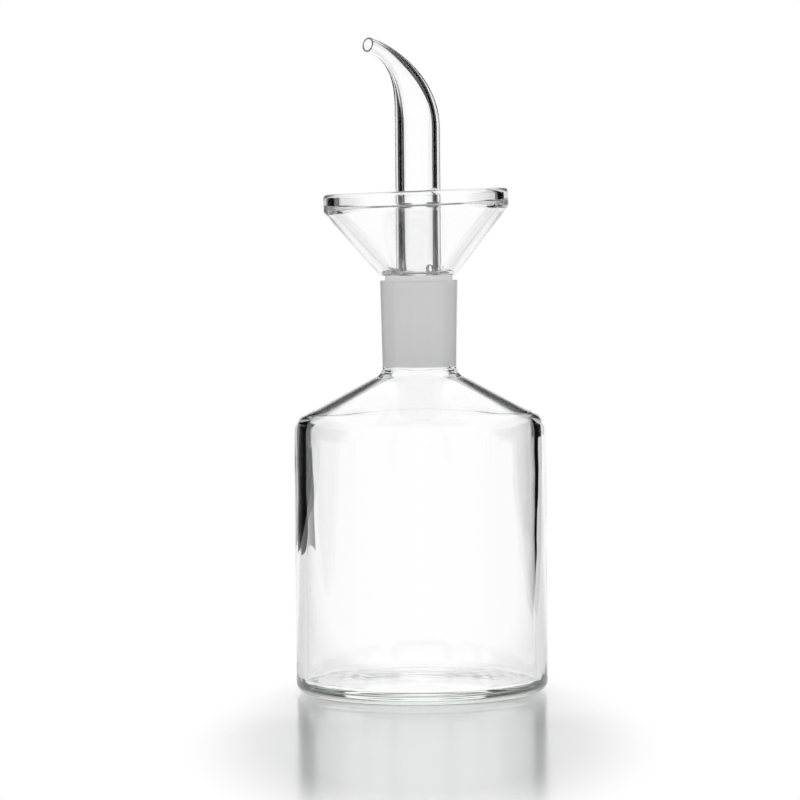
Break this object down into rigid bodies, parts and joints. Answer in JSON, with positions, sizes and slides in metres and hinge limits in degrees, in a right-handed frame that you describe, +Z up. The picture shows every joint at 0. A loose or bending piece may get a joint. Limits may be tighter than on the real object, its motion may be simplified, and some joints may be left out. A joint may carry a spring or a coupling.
{
  "type": "glass pouring bottle with drip funnel head",
  "caption": "Clear glass bottle with a ground-joint neck and a lift-off head: a drip funnel with a bent, tapering pouring spout.",
  "frame": {"origin": "centre of the foot, on the surface that the bottle stands on", "axes": "+Z up along the bottle's axis; the spout bends over towards +Y"},
  "size_m": [0.07, 0.07, 0.181],
  "materials": {
    "clear_glass": "clear, flame-polished borosilicate glass",
    "ground_glass": "borosilicate glass with a fine-ground, frosted joint face"
  },
  "bodies": {
    "bottle": {"bottle_body": "clear_glass"},
    "socket": {"neck_socket": "ground_glass"},
    "head": {"ground_cone": "ground_glass", "drip_funnel": "clear_glass", "ring_seal": "clear_glass", "spout_tube": "clear_glass"}
  },
  "joints": [
    {"name": "head_turn", "type": "hinge", "parent": "bottle", "child": "socket", "pos_m": [0, 0, 0.0903], "axis": [0, 0, 1], "continuous": true},
    {"name": "head_lift", "type": "slide", "parent": "socket", "child": "head", "axis": [0, 0, 1], "range_m": [0, 0.06]}
  ]
}
